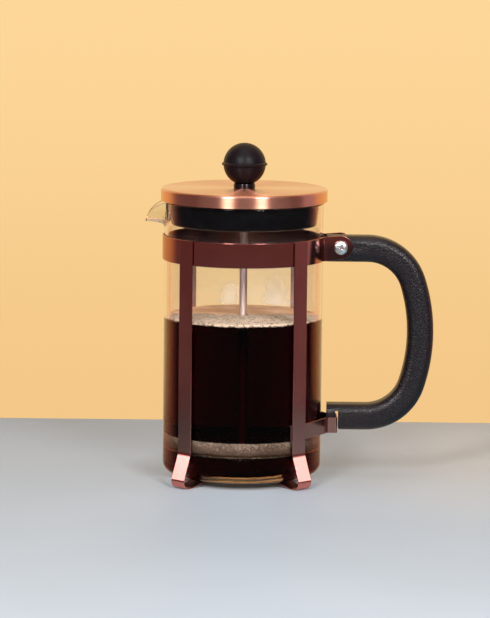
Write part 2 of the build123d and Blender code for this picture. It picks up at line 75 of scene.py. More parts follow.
# Coffee and foam, in metres
MM = 0.001
BORE_R = 48.0 * MM
GLASS_FLOOR_Z = 7.2 * MM
GLASS_CORNER_R = 5.0 * MM
COFFEE_Z = 103.0 * MM
COFFEE_LAP = 0.15 * MM
COFFEE_SIDES = 160
COFFEE_CORNER_STEPS = 10
CREEP_W = 1.2 * MM
CREEP_H = 0.5 * MM
FOAM_SIDES = 480
FOAM_T = 1.2 * MM
FOAM_RADII = (47.95, 47.2, 45.6, 43.6, 41.2, 38.4, 35.4, 32.2, 28.8, 25.2, 21.4, 17.4, 13.2, 8.8, 5.4, 3.2)
FOAM_RINGS = [radius * MM for radius in FOAM_RADII]
FOAM_EDGE = 0.2 * MM
FOAM_FRONT_DEPTH = 12 * MM
FOAM_BACK_SHARE = 0.12
FOAM_LUMP_LAYERS = 2
# Group of vertices, then height, size and middle level of its lumps
FOAM_LUMPS = (("tops", 2.0 * MM, 4 * MM, 0.45), ("hem", -1.5 * MM, 1.6 * MM, 0.42))

# Filter, in metres
ROD_R = 2.35 * MM
ROD_GAP = 0.5 * MM
MESH_SIDES = 192
MESH_R = 47.6 * MM
MESH_Z = 21.4 * MM
MESH_RIM_H = 8.6 * MM
MESH_RIM_SHARE = 0.9
MESH_BEND_R = 2.0 * MM
MESH_BEND_STEPS = 5
MESH_T = 0.35 * MM
SPRING_RING_R = 43.4 * MM
SPRING_Z = 25.6 * MM
SPRING_CURL_R = 3.0 * MM
SPRING_WIRE_R = 0.4 * MM
SPRING_WIRE_SIDES = 8
SPRING_CURLS = 60
SPRING_CURL_STEPS = 16
SPRING_OPEN_CURLS = 0.5
SPRING_WELD_GAP = 0.01 * MM

# Screw, in metres, with its dome as radius and depth in millimetres
SCREW_SIDES = 48
SCREW_R = 2.4 * MM
SCREW_HEAD_H = 2.6 * MM
SCREW_DOME = (
    (4.45, 2.6), (4.45, 1.7), (4.3, 1.25), (3.95, 0.87),
    (3.4, 0.57), (2.6, 0.31), (1.6, 0.12), (0.6, 0.02))
SCREW_TURN = 28
SCREW_SHARP_ANGLE = 40
RECESS_MM = (8.4, 3.8, 2.2)
RECESS_TAPER = 0.42

# Rounded edges and shading, in metres and degrees
LEG_ROUND = 0.28 * MM
BAND_ROUND = 0.3 * MM
STRIP_ROUND_STEPS = 3
NUT_ROUND = 0.3 * MM
LID_ROUND = 0.2 * MM
HANDLE_ROUND = 0.5 * MM
WELD_GAP = 0.002 * MM
LEVEL_ANGLE = 0.3
SHARP_ANGLE = 35
ROUNDED_ANGLE = 50
ALL_SMOOTH = 180
FLAT_WEIGHT = 100
# A face points along an axis when at least this part of its normal does
FACING_WAY = 0.9

# Zones of the finishes, in metres, each from where it begins to where it is full
# These zones mark painted shade: the lower part of each ear is painted darker
EAR_X = (0.046, 0.054)
EAR_Z = (0.10, 0.12)
EAR_SHADE_TOP_Z = (0.1550, 0.1465)
# Painted shade on the rod, from the foam down
ROD_SHADE_EDGE_Z = (COFFEE_Z - 9 * MM, COFFEE_Z + MM)
# The filter cloth is lighter towards the top of its rim and darker towards the right
MESH_EDGE_Z = (MESH_Z, MESH_Z + MESH_RIM_H)
MESH_DARKER_RIGHT_X = (-0.02, 0.03)
FILM_SKIN_R = (BORE_R + 1.2 * MM, BORE_R + 0.8 * MM)
FILM_FAR_Y = (0.010, 0.030)
FILM_FOOT_Z = (COFFEE_Z, COFFEE_Z + 3 * MM)
FILM_TOP_Z = (0.152, 0.132)
FILM_THICKER_X = (-0.010, 0.012)
# Across and up of a smear's middle, and its half width
SMEARS = ((-0.0085, 0.1065, 0.0098), (0.0215, 0.108, 0.0112))
FOAM_HEM_Z = (COFFEE_Z - 0.1 * MM, COFFEE_Z + 0.9 * MM)
FOAM_HEM_WANDER = 1.6 * MM
FOAM_BACK_Y = (0.0, 0.007)
FOAM_BACK_WANDER = 0.022

# Patterns of the finishes: how many lines to a metre, or to a radian round the lid, then lengths in metres
FINE_LINES = 9000.0
LONG_LINES = 25.0
LID_LINES_AROUND = 1.6
TURNED_LINES = 5000.0
TURNED_STRETCH = 12
ROD_LONG_LINES = 400.0
LEG_FACE_R = 51.9 * MM
BAND_FACE_R = 51.1 * MM
MESH_PITCH = 0.6 * MM
LINE_DEPTH = 0.1 * MM
WEAVE_DEPTH = 0.2 * MM
GRAIN_DEPTH = 0.4 * MM
BUBBLE_DEPTH = 0.5 * MM

# Tones of the finishes, from dark to light
# Painted shade on the lower part of the ears
EAR_PAINTED_SHADE = (0.150, 0.088, 0.090)
STRIP_STOPS = [(0.32, (0.37, 0.145, 0.125)), (0.68, (0.52, 0.215, 0.190))]
LID_TONES = ((0.72, 0.29, 0.185), (0.84, 0.38, 0.265))
STEEL_TONES = ((0.42, 0.42, 0.43), (0.62, 0.62, 0.63))
ZINC_TONES = ((0.68, 0.68, 0.69), (0.84, 0.84, 0.85))
BRASS_TONES = ((0.55, 0.38, 0.14), (0.72, 0.52, 0.22))
# The rod's own tones, then its painted shade in the coffee
ROD_OWN_TONES = ((0.62, 0.46, 0.42), (0.70, 0.54, 0.49))
ROD_SHADED_TONES = ((0.12, 0.070, 0.052), (0.19, 0.115, 0.085))
MESH_STOPS = [(0.40, (0.028, 0.013, 0.009)), (0.84, (0.098, 0.068, 0.060)), (1.0, (0.31, 0.270, 0.262))]
GRAIN_STOPS = [(0.4, (0.005, 0.0032, 0.0045)), (1.0, (0.012, 0.008, 0.011))]
GLOSS_TONES = ((0.0012, 0.0012, 0.0016), (0.003, 0.003, 0.004))
CREAM_TONES = ((0.43, 0.310, 0.230), (0.57, 0.445, 0.350))
FOAM_FILM_TONES = ((0.62, 0.31, 0.155), (0.90, 0.55, 0.345))
OPEN_BUBBLE = (0.13, 0.075, 0.05)
WET_HEM = (0.07, 0.042, 0.030)
GLASS_TINT = (0.985, 0.992, 0.988, 1.0)
COFFEE_TINT = (0.875, 0.62, 0.25, 1.0)
CLEAR = (1.0, 1.0, 1.0, 1.0)

# Roughness of the finishes, from the smoothest to the roughest spot
STRIP_ROUGH = (0.11, 0.17)
LID_ROUGH = (0.28, 0.34)
STEEL_ROUGH = (0.18, 0.30)
ZINC_ROUGH = (0.24, 0.36)
BRASS_ROUGH = (0.22, 0.34)
ROD_ROUGH = (0.56, 0.68)
GRAIN_ROUGH = (0.26, 0.40)
GLOSS_ROUGH = (0.10, 0.16)

# Shares in the finishes
STRIP_LINE_SHARE = 0.55
STRIP_CLOUD_SHARE = 0.45
MESH_FLECK_SHARE = 0.50
MESH_EDGE_SHARE = 0.30
MESH_STAIN_SHARE = 0.62
MESH_DARKER_RIGHT_SHARE = 0.04
MESH_DARKER_RIGHT_MIDDLE = 0.4
GRAIN_SOFT_SHARE = 0.6
GRAIN_SOFT_SIZE = 0.6
FILM_SHARE = 0.10
FILM_THICKER_SHARE = 0.10
FROTH_SHARE = 0.32
SMEAR_SQUASH = 0.55
SMEAR_WANDER = 0.6
SMEAR_CORE = 0.1
FOAM_DRAWN = 0.35
SMALL_BUBBLE_SHARE = 0.7
LARGE_BUBBLE_SHARE = 0.5
BUBBLE_OPENING = (0.62, 0.22)
BUBBLES_OPEN = (0.52, 0.40)
NOISE_LOW = 0.3
NOISE_MIDDLE = 0.5
NOISE_HIGH = 0.7

# Table, in metres from the middle of the press
TABLE_SIZE = (0.66, 0.667, 0.04)
TABLE_MIDDLE = (0, -0.1165, -0.02)
TABLE_ROUND = 0.002
TABLE_ROUND_STEPS = 3
TABLE_TONES = ((0.54, 0.60, 0.67), (0.58, 0.64, 0.71))
TABLE_FAR_R = (0.075, 0.13)
TABLE_SIDE_X = (-0.05, 0.05)
# Painted reflections: tones the table shows only to brushed metal, brightest close to the press
TABLE_IN_METAL_LEFT = (0.10, 0.20, 0.22)
TABLE_IN_METAL_RIGHT = (0.27, 0.46, 0.51)
TABLE_IN_METAL_NEAR = (0.95, 0.86, 0.86)
# A painted pool of light on the table, seen by the camera only
SUNNY_X = (0.03, 0.16)
SUNNY_Y = (-0.20, 0.10)
SUNNY = (0.72, 0.70, 0.69)
# A painted soft shadow under the press
SHADE_R = (0.033, 0.047)
SHADE = (0.02, 0.018, 0.017)

# Surroundings, by direction; facing is 1 away from the camera and -1 towards it
# The wall seen by the eye, painted a little darker low down as shade
WALL_Z = (-0.17, -0.05)
WALL_STOPS = [(0.0, (0.90, 0.575, 0.245)), (1.0, (0.98, 0.675, 0.315))]
# Painted reflections seen only in the glass: dark towards the camera, warm towards the wall
EDGE_Z = (-0.182, -0.148)
EDGE_DARK = (0.022, 0.018, 0.018)
EDGE_STOPS = [
    (0.36, EDGE_DARK), (0.49, (0.25, 0.072, 0.055)), (0.665, (0.78, 0.25, 0.09)),
    (0.853, (0.97, 0.50, 0.20)), (0.93, (0.96, 0.65, 0.30))]
LOW_EDGE_STOPS = [
    (0.36, EDGE_DARK), (0.60, (0.28, 0.085, 0.070)), (0.90, (0.42, 0.17, 0.12)), (0.97, (0.55, 0.40, 0.28))]
# A painted warm glow, mirrored only in the foot of the glass
FOOT_Z = (-0.76, -0.86)
FOOT_NEAR_Y = (0.0, 0.14)
FOOT_FAR_Y = (0.66, 0.40)
FOOT_X = (-0.30, -0.18)
FOOT_GLOW = (4.2, 2.05, 0.72)
# Painted reflections seen only in brushed metal: a dim room, a light patch ahead and on the right, and the
# wall behind
ROOM_Z = (-0.16, -0.12)
ROOM_STOPS = [(0.0, (0.172, 0.158, 0.160)), (0.55, (0.29, 0.165, 0.145)), (1.0, (0.195, 0.088, 0.082))]
AHEAD_FACING = (-0.36, -0.42)
AHEAD_Z = (0.02, 0.30)
AHEAD = (0.52, 0.41, 0.42)
RIGHT_X = (0.0, 0.1)
RIGHT_FACING = (-0.10, 0.10)
RIGHT = (0.50, 0.36, 0.39)
WALL_IN_METAL_Z = (-0.06, 0.10)
WALL_IN_METAL_FACING = (0.28, 0.68)
WALL_IN_METAL_LOW = (0.90, 0.50, 0.17)
WALL_IN_METAL_HIGH = (0.95, 0.67, 0.33)
FILL_LIGHT = (0.22, 0.215, 0.21)

# Lamps: name, place, aim, width, height, radiance and beam in degrees
WIDEST_BEAM = 180
SOFTBOXES = (
    ("overhead", (0, -0.35, 1.5), (0, 0, 0.1), 1.2, 1.2, 0.9, WIDEST_BEAM),
    ("left_box", (-0.514, -0.05, 0.172), (-0.042, -0.042, 0.012), 0.17, 0.13, 5.6, 20),
    ("right_box", (0.514, -0.05, 0.172), (0.042, -0.042, 0.012), 0.17, 0.13, 4.8, 20),
    ("front_left_box", (-0.69, -1.62, 0.98), (0, 0, 0.15), 0.42, 0.7, 22.0, WIDEST_BEAM),
    ("front_right_box", (0.76, -1.62, 0.98), (0, 0, 0.15), 0.42, 0.7, 22.0, WIDEST_BEAM))


# Camera
def set_camera():
    """The photograph's place: far off, a little above, looking along +Y."""
    lens_data = bpy.data.cameras.new("camera")
    lens_data.sensor_width = SENSOR_MM
    lens_data.lens = LENS_MM
    lens_data.clip_start = CLIP_NEAR
    lens_data.clip_end = CLIP_FAR
    camera = bpy.data.objects.new("camera", lens_data)
    scene.collection.objects.link(camera)
    pitch = Matrix.Rotation(math.radians(90 - CAMERA_DOWN), 4, "X")
    roll = Matrix.Rotation(math.radians(CAMERA_ROLL), 4, "Z")
    camera.matrix_world = Matrix.Translation(CAMERA_PLACE) @ pitch @ roll
    scene.camera = camera


# Modelling by hand
def clear_selection():
    bpy.ops.object.select_all(action="DESELECT")


def choose(piece):
    """Selects one piece alone."""
    clear_selection()
    piece.select_set(True)
    bpy.context.view_layer.objects.active = piece


def open_piece(piece):
    """Goes into edit mode on one piece alone."""
    choose(piece)
    bpy.ops.object.mode_set(mode="EDIT")


def close_piece():
    bpy.ops.object.mode_set(mode="OBJECT")


def pick(piece, kind, test):
    """Selects the verts, edges or faces of an open piece for which a test holds."""
    bpy.ops.mesh.select_mode(type=kind)
    bpy.ops.mesh.select_all(action="DESELECT")
    shape = bmesh.from_edit_mesh(piece.data)
    for element in {"VERT": shape.verts, "EDGE": shape.edges, "FACE": shape.faces}[kind]:
        if test(element):
            element.select_set(True)
    shape.select_flush_mode()
    bmesh.update_edit_mesh(piece.data)


def turn_faces_out():
    """Turns all faces of the open piece outwards."""
    bpy.ops.mesh.select_all(action="SELECT")
    bpy.ops.mesh.normals_make_consistent(inside=False)


def named(name):
    """Gives the piece just added its name, with its place moved into its mesh."""
    piece = bpy.context.view_layer.objects.active
    piece.name = name
    piece.data.name = name
    bpy.ops.object.transform_apply(location=True, rotation=True, scale=True)
    return piece


def apply_modifiers(piece):
    choose(piece)
    for modifier in list(piece.modifiers):
        bpy.ops.object.modifier_apply(modifier=modifier.name)


def thicken(piece, thickness, side):
    """Gives a surface its thickness: on its outer side when the side is 1, half on each when it is 0."""
    thick = piece.modifiers.new("thick", "SOLIDIFY")
    thick.thickness = thickness
    thick.offset = side
    apply_modifiers(piece)


def smooth(piece, degrees=SHARP_ANGLE):
    choose(piece)
    bpy.ops.object.shade_smooth_by_angle(angle=math.radians(degrees))


def softened(node, width, segments=2, level=True):
    """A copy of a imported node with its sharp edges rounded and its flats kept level, which stands for it."""
    clear_selection()
    packed = frame["nodes"][node]
    piece = bpy.data.objects.new(node + "_finished", packed.data.copy())
    scene.collection.objects.link(piece)
    open_piece(piece)
    bpy.ops.mesh.customdata_custom_splitnormals_clear()
    bpy.ops.mesh.select_all(action="SELECT")
    bpy.ops.mesh.remove_doubles(threshold=WELD_GAP)
    bpy.ops.mesh.dissolve_limited(angle_limit=math.radians(LEVEL_ANGLE))
    bpy.ops.mesh.select_mode(type="EDGE")
    bpy.ops.mesh.select_all(action="DESELECT")
    bpy.ops.mesh.edges_select_sharp(sharpness=math.radians(SHARP_ANGLE))
    bpy.ops.mesh.bevel(offset=width, segments=segments, affect="EDGES", clamp_overlap=True)
    close_piece()
    smooth(piece, ROUNDED_ANGLE)
    if level:
        flats = piece.modifiers.new("flats", "WEIGHTED_NORMAL")
        flats.keep_sharp = True
        flats.weight = FLAT_WEIGHT
        apply_modifiers(piece)
    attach(piece, packed["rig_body"])
    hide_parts(node)
    return piece


def dress(piece, finish):
    piece.data.materials.clear()
    piece.data.materials.append(finish)


# Shader nodes
def new_finish(name):
    finish = bpy.data.materials.new(name)
    finish.use_nodes = True
    tree = finish.node_tree
    return finish, tree, tree.nodes["Principled BSDF"]


def connect(tree, socket, value):
    """Links a socket to another, or sets it to a number or colour."""
    if isinstance(value, bpy.types.NodeSocket):
        tree.links.new(value, socket)
    else:
        socket.default_value = value


def fill(tree, made, **inputs):
    """Links or sets sockets of a node; a name with _ stands for a socket's name with spaces."""
    for key, value in inputs.items():
        connect(tree, made.inputs[key.replace("_", " ")], value)


def node(tree, kind, settings=None, **inputs):
    """Adds a node with its settings and sockets."""
    made = tree.nodes.new(kind)
    for key, value in (settings or {}).items():
        setattr(made, key, value)
    fill(tree, made, **inputs)
    return made


def math_node(tree, operation, *values):
    made = node(tree, "ShaderNodeMath", {"operation": operation})
    for socket, value in zip(made.inputs, values):
        connect(tree, socket, value)
    return made.outputs[0]


def times(tree, first, second):
    return math_node(tree, "MULTIPLY", first, second)


def plus(tree, first, second):
    return math_node(tree, "ADD", first, second)


def blend(tree, *terms):
    """A sum of values, each times its share."""
    products = [times(tree, value, share) for value, share in terms]
    total = products[0]
    for product in products[1:]:
        total = plus(tree, total, product)
    return total


def between(tree, value, low, high):
    """How far a value is from low to high, from 0 to 1."""
    made = node(tree, "ShaderNodeMapRange", {"interpolation_type": "SMOOTHSTEP"}, Value=value)
    made.inputs["From Min"].default_value = low
    made.inputs["From Max"].default_value = high
    return made.outputs["Result"]


def overlap(tree, *zones):
    """Where several values are all within their zones, from 0 to 1."""
    shares = [between(tree, value, *zone) for value, zone in zones]
    total = shares[0]
    for share in shares[1:]:
        total = times(tree, total, share)
    return total


def wander(tree, value, pattern, reach):
    """A value moved up and down by a pattern."""
    return plus(tree, value, times(tree, math_node(tree, "SUBTRACT", pattern, NOISE_MIDDLE), reach))


def ramp(tree, factor, stops):
    made = tree.nodes.new("ShaderNodeValToRGB")
    tree.links.new(factor, made.inputs[0])
    while len(made.color_ramp.elements) < len(stops):
        made.color_ramp.elements.new(0.5)
    for element, (place, colour) in zip(made.color_ramp.elements, stops):
        element.position = place
        element.color = (*colour, 1.0)
    return made.outputs["Color"]


def spread(tree, pattern, low, high):
    """A colour, or a grey from a number, that follows a noise from low to high."""
    low, high = (tone if isinstance(tone, tuple) else (tone, tone, tone) for tone in (low, high))
    return ramp(tree, pattern, [(NOISE_LOW, low), (NOISE_HIGH, high)])


def mixed(tree, share, first, second):
    """A colour that goes from the first to the second."""
    made = node(tree, "ShaderNodeMix", {"data_type": "RGBA"})
    tree.links.new(share, made.inputs[0])
    for socket, value in zip((made.inputs[6], made.inputs[7]), (first, second)):
        connect(tree, socket, (*value, 1.0) if isinstance(value, tuple) else value)
    return made.outputs[2]


def object_place(tree):
    return node(tree, "ShaderNodeTexCoord").outputs["Object"]


def axes(tree, vector):
    return node(tree, "ShaderNodeSeparateXYZ", Vector=vector).outputs


def from_axis(tree, parts):
    """How far a place or direction reaches from the Z axis."""
    flat = node(tree, "ShaderNodeCombineXYZ", X=parts["X"], Y=parts["Y"]).outputs[0]
    reach = node(tree, "ShaderNodeVectorMath", {"operation": "LENGTH"})
    tree.links.new(flat, reach.inputs[0])
    return reach.outputs["Value"]


def round_place(tree, along, around, radius):
    """Coordinates round the Z axis: arc length and height, each times a stretch."""
    parts = axes(tree, object_place(tree))
    angle = math_node(tree, "ARCTAN2", parts["Y"], parts["X"])
    return node(
        tree, "ShaderNodeCombineXYZ",
        X=times(tree, angle, radius * around),
        Y=times(tree, parts["Z"], along)).outputs[0]


def stretched(tree, place, scale):
    made = node(tree, "ShaderNodeMapping", Vector=place)
    made.inputs["Scale"].default_value = scale
    return made.outputs[0]


def noise(tree, place, scale, detail, roughness=0.5):
    return node(
        tree, "ShaderNodeTexNoise",
        Vector=place, Scale=scale, Detail=detail, Roughness=roughness).outputs["Fac"]


def cells(tree, place, scale, feature="F1"):
    return node(tree, "ShaderNodeTexVoronoi", {"feature": feature}, Vector=place, Scale=scale).outputs


def relief(tree, height, strength, distance):
    """A normal that follows a height."""
    return node(tree, "ShaderNodeBump", Strength=strength, Distance=distance, Height=height).outputs[0]


# Metal finishes
def antique_copper(name, lines):
    """Dark copper plate on steel strip, rubbed along its length, with painted shade low on the ears."""
    finish, tree, shader = new_finish(name)
    place = object_place(tree)
    parts = axes(tree, place)
    fine = noise(tree, lines(tree), scale=1.0, detail=3.0, roughness=0.6)
    cloud = noise(tree, place, scale=35.0, detail=2.0)
    colour = ramp(tree, blend(tree, (fine, STRIP_LINE_SHARE), (cloud, STRIP_CLOUD_SHARE)), STRIP_STOPS)
    # Painted shade: the lower part of each ear goes darker
    ear_shade = overlap(tree, (parts["X"], EAR_X), (parts["Z"], EAR_Z), (parts["Z"], EAR_SHADE_TOP_Z))
    fill(
        tree, shader, Base_Color=mixed(tree, ear_shade, colour, EAR_PAINTED_SHADE), Metallic=1.0,
        Roughness=spread(tree, fine, *STRIP_ROUGH),
        Normal=relief(tree, fine, strength=0.08, distance=LINE_DEPTH))
    return finish


def leg_lines(tree):
    return round_place(tree, LONG_LINES, FINE_LINES, LEG_FACE_R)


def band_lines(tree):
    return round_place(tree, FINE_LINES, LONG_LINES, BAND_FACE_R)


def brushed_lid_copper():
    """Copper lid, brushed in rings on its top and round its skirt."""
    finish, tree, shader = new_finish("brushed_lid_copper")
    parts = axes(tree, object_place(tree))
    angle = math_node(tree, "ARCTAN2", parts["Y"], parts["X"])
    rings = node(
        tree, "ShaderNodeCombineXYZ",
        X=times(tree, from_axis(tree, parts), FINE_LINES),
        Y=times(tree, parts["Z"], FINE_LINES),
        Z=times(tree, angle, LID_LINES_AROUND)).outputs[0]
    lines = noise(tree, rings, scale=1.0, detail=3.0, roughness=0.65)
    tangent = node(tree, "ShaderNodeTangent", {"direction_type": "RADIAL", "axis": "Z"})
    fill(
        tree, shader, Base_Color=spread(tree, lines, *LID_TONES), Metallic=1.0,
        Roughness=spread(tree, lines, *LID_ROUGH), Coat_Weight=1.0, Coat_Roughness=0.22,
        Anisotropic=1.0, Anisotropic_Rotation=0.25, Tangent=tangent.outputs[0],
        Normal=relief(tree, lines, strength=0.06, distance=LINE_DEPTH))
    return finish


def turned_metal(name, tones, rough):
    """Bare metal with faint lines from turning."""
    finish, tree, shader = new_finish(name)
    across = TURNED_LINES / TURNED_STRETCH
    drawn = stretched(tree, object_place(tree), (across, across, TURNED_LINES))
    lines = noise(tree, drawn, scale=1.0, detail=3.0)
    fill(
        tree, shader, Base_Color=spread(tree, lines, *tones), Metallic=1.0,
        Roughness=spread(tree, lines, *rough),
        Normal=relief(tree, lines, strength=0.05, distance=LINE_DEPTH))
    return finish


def plunger_steel():
    """Satin steel rod, with painted shade from the foam down, where the coffee would keep the lamps' light off
    it.
    """
    finish, tree, shader = new_finish("plunger_steel")
    place = object_place(tree)
    drawn = stretched(tree, place, (ROD_LONG_LINES, ROD_LONG_LINES, TURNED_LINES))
    lines = noise(tree, drawn, scale=1.0, detail=3.0)
    own_tone = spread(tree, lines, *ROD_OWN_TONES)
    shaded_low = spread(tree, lines, *ROD_SHADED_TONES)
    # Painted shade below the foam, where the coffee would keep the lamps' light off the rod
    above_coffee = between(tree, axes(tree, place)["Z"], *ROD_SHADE_EDGE_Z)
    fill(
        tree, shader, Base_Color=mixed(tree, above_coffee, shaded_low, own_tone), Metallic=1.0,
        Roughness=spread(tree, lines, *ROD_ROUGH),
        Normal=relief(tree, lines, strength=0.05, distance=LINE_DEPTH))
    return finish


def woven_mesh():
    """Fine steel wire cloth with coffee in it, lighter towards the top of its rim and darker towards the
    right.
    """
    finish, tree, shader = new_finish("woven_mesh")
    wires = 2 * math.pi / MESH_PITCH
    cloth = axes(tree, round_place(tree, wires, wires, MESH_R))
    weave = times(tree, math_node(tree, "SINE", cloth["X"]), math_node(tree, "SINE", cloth["Y"]))
    place = object_place(tree)
    parts = axes(tree, place)
    fleck = axes(tree, cells(tree, place, scale=2200.0)["Color"])["X"]
    stain = noise(tree, place, scale=75.0, detail=5.0)
    # Lighter towards the top of the rim, and darker towards the right
    edge = between(tree, parts["Z"], *MESH_EDGE_Z)
    lighter_left = math_node(tree, "SUBTRACT", MESH_DARKER_RIGHT_MIDDLE, between(tree, parts["X"], *MESH_DARKER_RIGHT_X))
    tone = blend(
        tree, (fleck, MESH_FLECK_SHARE), (edge, MESH_EDGE_SHARE), (stain, MESH_STAIN_SHARE),
        (lighter_left, MESH_DARKER_RIGHT_SHARE))
    fill(
        tree, shader, Base_Color=ramp(tree, tone, MESH_STOPS), Metallic=0.35, Roughness=0.45,
        Normal=relief(tree, weave, strength=0.5, distance=WEAVE_DEPTH))
    return finish


# Plastic finishes
def grained_black(name, fineness, strength, shine):
    """Black plastic moulded with a fine grain."""
    finish, tree, shader = new_finish(name)
    place = object_place(tree)
    grain = cells(tree, place, scale=fineness, feature="SMOOTH_F1")["Distance"]
    soft = noise(tree, place, scale=GRAIN_SOFT_SIZE * fineness, detail=2.0)
    height = plus(tree, grain, times(tree, soft, GRAIN_SOFT_SHARE))
    fill(
        tree, shader, Base_Color=ramp(tree, height, GRAIN_STOPS), Specular_IOR_Level=shine,
        Roughness=spread(tree, soft, *GRAIN_ROUGH),
        Normal=relief(tree, height, strength=strength, distance=GRAIN_DEPTH))
    return finish


def gloss_black():
    """Polished black plastic."""
    finish, tree, shader = new_finish("gloss_black")
    ripple = noise(tree, object_place(tree), scale=120.0, detail=2.0)
    fill(
        tree, shader, Base_Color=spread(tree, ripple, *GLOSS_TONES),
        Roughness=spread(tree, ripple, *GLOSS_ROUGH),
        Normal=relief(tree, ripple, strength=0.03, distance=GRAIN_DEPTH))
    return finish


# Finishes of the glass and of what is in it
def smear(tree, place, cloud, across, up, reach):
    """A soft upright patch on the far wall, with a wandering edge."""
    away = node(tree, "ShaderNodeVectorMath", {"operation": "DISTANCE"})
    tree.links.new(stretched(tree, place, (1.0, 0.0, SMEAR_SQUASH)), away.inputs[0])
    away.inputs[1].default_value = (across, 0.0, SMEAR_SQUASH * up)
    edge = wander(tree, away.outputs["Value"], cloud, SMEAR_WANDER * reach)
    return between(tree, edge, reach, SMEAR_CORE * reach)


def clear_glass():
    """Clear glass; above the foam its far wall keeps a thin milky film and two smears of froth."""
    finish, tree, shader = new_finish("clear_glass")
    place = object_place(tree)
    parts = axes(tree, place)
    far_wall = overlap(
        tree, (from_axis(tree, parts), FILM_SKIN_R), (parts["Y"], FILM_FAR_Y),
        (parts["Z"], FILM_FOOT_Z), (parts["Z"], FILM_TOP_Z))
    cloud = noise(tree, place, scale=160.0, detail=4.0)
    thicker = between(tree, parts["X"], *FILM_THICKER_X)
    froth = math_node(tree, "MAXIMUM", *(smear(tree, place, cloud, *patch) for patch in SMEARS))
    film = plus(tree, blend(tree, (thicker, FILM_THICKER_SHARE), (froth, FROTH_SHARE)), FILM_SHARE)
    fill(
        tree, shader, Base_Color=GLASS_TINT, Roughness=0.0, IOR=1.47, Specular_IOR_Level=0.3,
        Transmission_Weight=math_node(tree, "SUBTRACT", 1.0, times(tree, far_wall, film)))
    return finish


def black_coffee():
    """Clear brown liquid, black where it is deep."""
    finish, tree, shader = new_finish("black_coffee")
    fill(tree, shader, Base_Color=CLEAR, Roughness=0.0, IOR=1.34, Transmission_Weight=1.0)
    body = node(tree, "ShaderNodeVolumeAbsorption", Color=COFFEE_TINT, Density=450.0)
    tree.links.new(body.outputs[0], tree.nodes["Material Output"].inputs["Volume"])
    return finish


def coffee_foam():
    """Beige foam full of small bubbles at the front, thinning to a brown film at the back."""
    finish, tree, shader = new_finish("coffee_foam")
    place = object_place(tree)
    parts = axes(tree, place)
    small = cells(tree, stretched(tree, place, (1.0, FOAM_DRAWN, 1.0)), scale=850.0)
    large = cells(tree, place, scale=480.0)
    cloud = noise(tree, place, scale=70.0, detail=4.0)
    burst = axes(tree, small["Color"])["X"]
    bubbles = blend(tree, (small["Distance"], SMALL_BUBBLE_SHARE), (large["Distance"], LARGE_BUBBLE_SHARE))
    opened = overlap(tree, (small["Distance"], BUBBLE_OPENING), (burst, BUBBLES_OPEN))
    foam = mixed(tree, opened, spread(tree, cloud, *CREAM_TONES), OPEN_BUBBLE)
    above_hem = between(tree, wander(tree, parts["Z"], burst, FOAM_HEM_WANDER), *FOAM_HEM_Z)
    foam = mixed(tree, above_hem, WET_HEM, foam)
    back = between(tree, wander(tree, parts["Y"], cloud, FOAM_BACK_WANDER), *FOAM_BACK_Y)
    film = spread(tree, cloud, *FOAM_FILM_TONES)
    fill(
        tree, shader, Base_Color=mixed(tree, back, foam, film), Roughness=0.55, Specular_IOR_Level=0.3,
        Normal=relief(tree, bubbles, strength=0.5, distance=BUBBLE_DEPTH))
    return finish


# Coffee and foam
def pour_coffee():
    """Fills the glass from its floor to the level, touching the wall all round."""
    bottom = GLASS_FLOOR_Z - COFFEE_LAP
    clear_selection()
    bpy.ops.mesh.primitive_cylinder_add(
        vertices=COFFEE_SIDES, radius=BORE_R + COFFEE_LAP, depth=COFFEE_Z - bottom,
        location=(0, 0, (COFFEE_Z + bottom) / 2))
    coffee = named("coffee")
    open_piece(coffee)
    pick(coffee, "EDGE", lambda e: all(v.co.z < bottom + MM for v in e.verts))
    bpy.ops.mesh.bevel(offset=GLASS_CORNER_R, segments=COFFEE_CORNER_STEPS, profile=0.5, affect="EDGES")
    pick(coffee, "FACE", lambda f: f.normal.z > FACING_WAY)
    bpy.ops.mesh.inset(thickness=CREEP_W)
    bpy.ops.transform.translate(value=(0, 0, -CREEP_H))
    close_piece()
    smooth(coffee)
    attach(coffee, "beaker")
    return coffee


def lay_foam():
    """A raft of foam on the coffee, thick and lumpy at the front and thin at the back."""
    clear_selection()
    bpy.ops.mesh.primitive_circle_add(
        vertices=FOAM_SIDES, radius=FOAM_RINGS[0], fill_type="NOTHING", location=(0, 0, COFFEE_Z))
    foam = named("foam")
    open_piece(foam)
    bpy.ops.mesh.select_all(action="SELECT")
    for inner, outer in zip(FOAM_RINGS[1:], FOAM_RINGS):
        bpy.ops.mesh.extrude_edges_move()
        bpy.ops.transform.resize(value=(inner / outer, inner / outer, 1))
    close_piece()
    thicken(foam, FOAM_T, 1.0)
    middle = COFFEE_Z + FOAM_T / 2
    tops = foam.vertex_groups.new(name="tops")
    hem = foam.vertex_groups.new(name="hem")
    for vert in foam.data.vertices:
        front = min(max(0.5 - vert.co.y / FOAM_FRONT_DEPTH, FOAM_BACK_SHARE), 1.0)
        if vert.co.z > middle:
            tops.add([vert.index], front, "REPLACE")
        elif vert.co.xy.length > FOAM_RINGS[0] - FOAM_EDGE:
            hem.add([vert.index], front, "REPLACE")
    for group, strength, size, middle_level in FOAM_LUMPS:
        lumps = bpy.data.textures.new("foam_" + group, "CLOUDS")
        lumps.noise_scale = size
        lumps.noise_depth = FOAM_LUMP_LAYERS
        heave = foam.modifiers.new(group, "DISPLACE")
        heave.texture = lumps
        heave.texture_coords = "LOCAL"
        heave.direction = "Z"
        heave.vertex_group = group
        heave.strength = strength
        heave.mid_level = middle_level
    apply_modifiers(foam)
    smooth(foam, ALL_SMOOTH)
    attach(foam, "beaker")
    return foam


